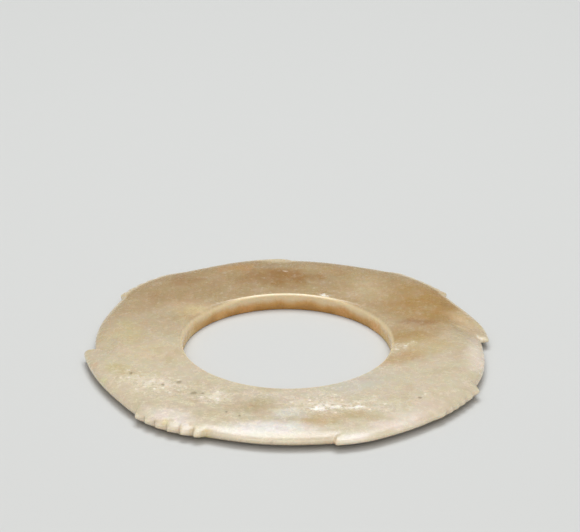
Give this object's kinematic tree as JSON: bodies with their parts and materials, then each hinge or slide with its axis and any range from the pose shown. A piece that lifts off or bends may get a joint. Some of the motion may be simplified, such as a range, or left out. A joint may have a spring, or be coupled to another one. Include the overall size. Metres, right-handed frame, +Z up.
{
  "type": "notched jade disc",
  "caption": "Flat ring of polished pale jade with a wide round hole; its rim is carved with hooks that point one way round, smooth lobes and runs of small teeth.",
  "frame": {"origin": "under the middle of the disc's outline, on the underside that it lies on", "axes": "+Z up out of the upper face, along the hole; +X to the right and +Y away from the viewer as the disc lies in the picture"},
  "size_m": [0.1206, 0.1216, 0.0053],
  "materials": {
    "jade": "polished translucent jade, greyish cream with honey-tan areas, white flecks and a few brown spots"
  },
  "bodies": {
    "root": {"jade_disc": "jade"}
  },
  "joints": []
}
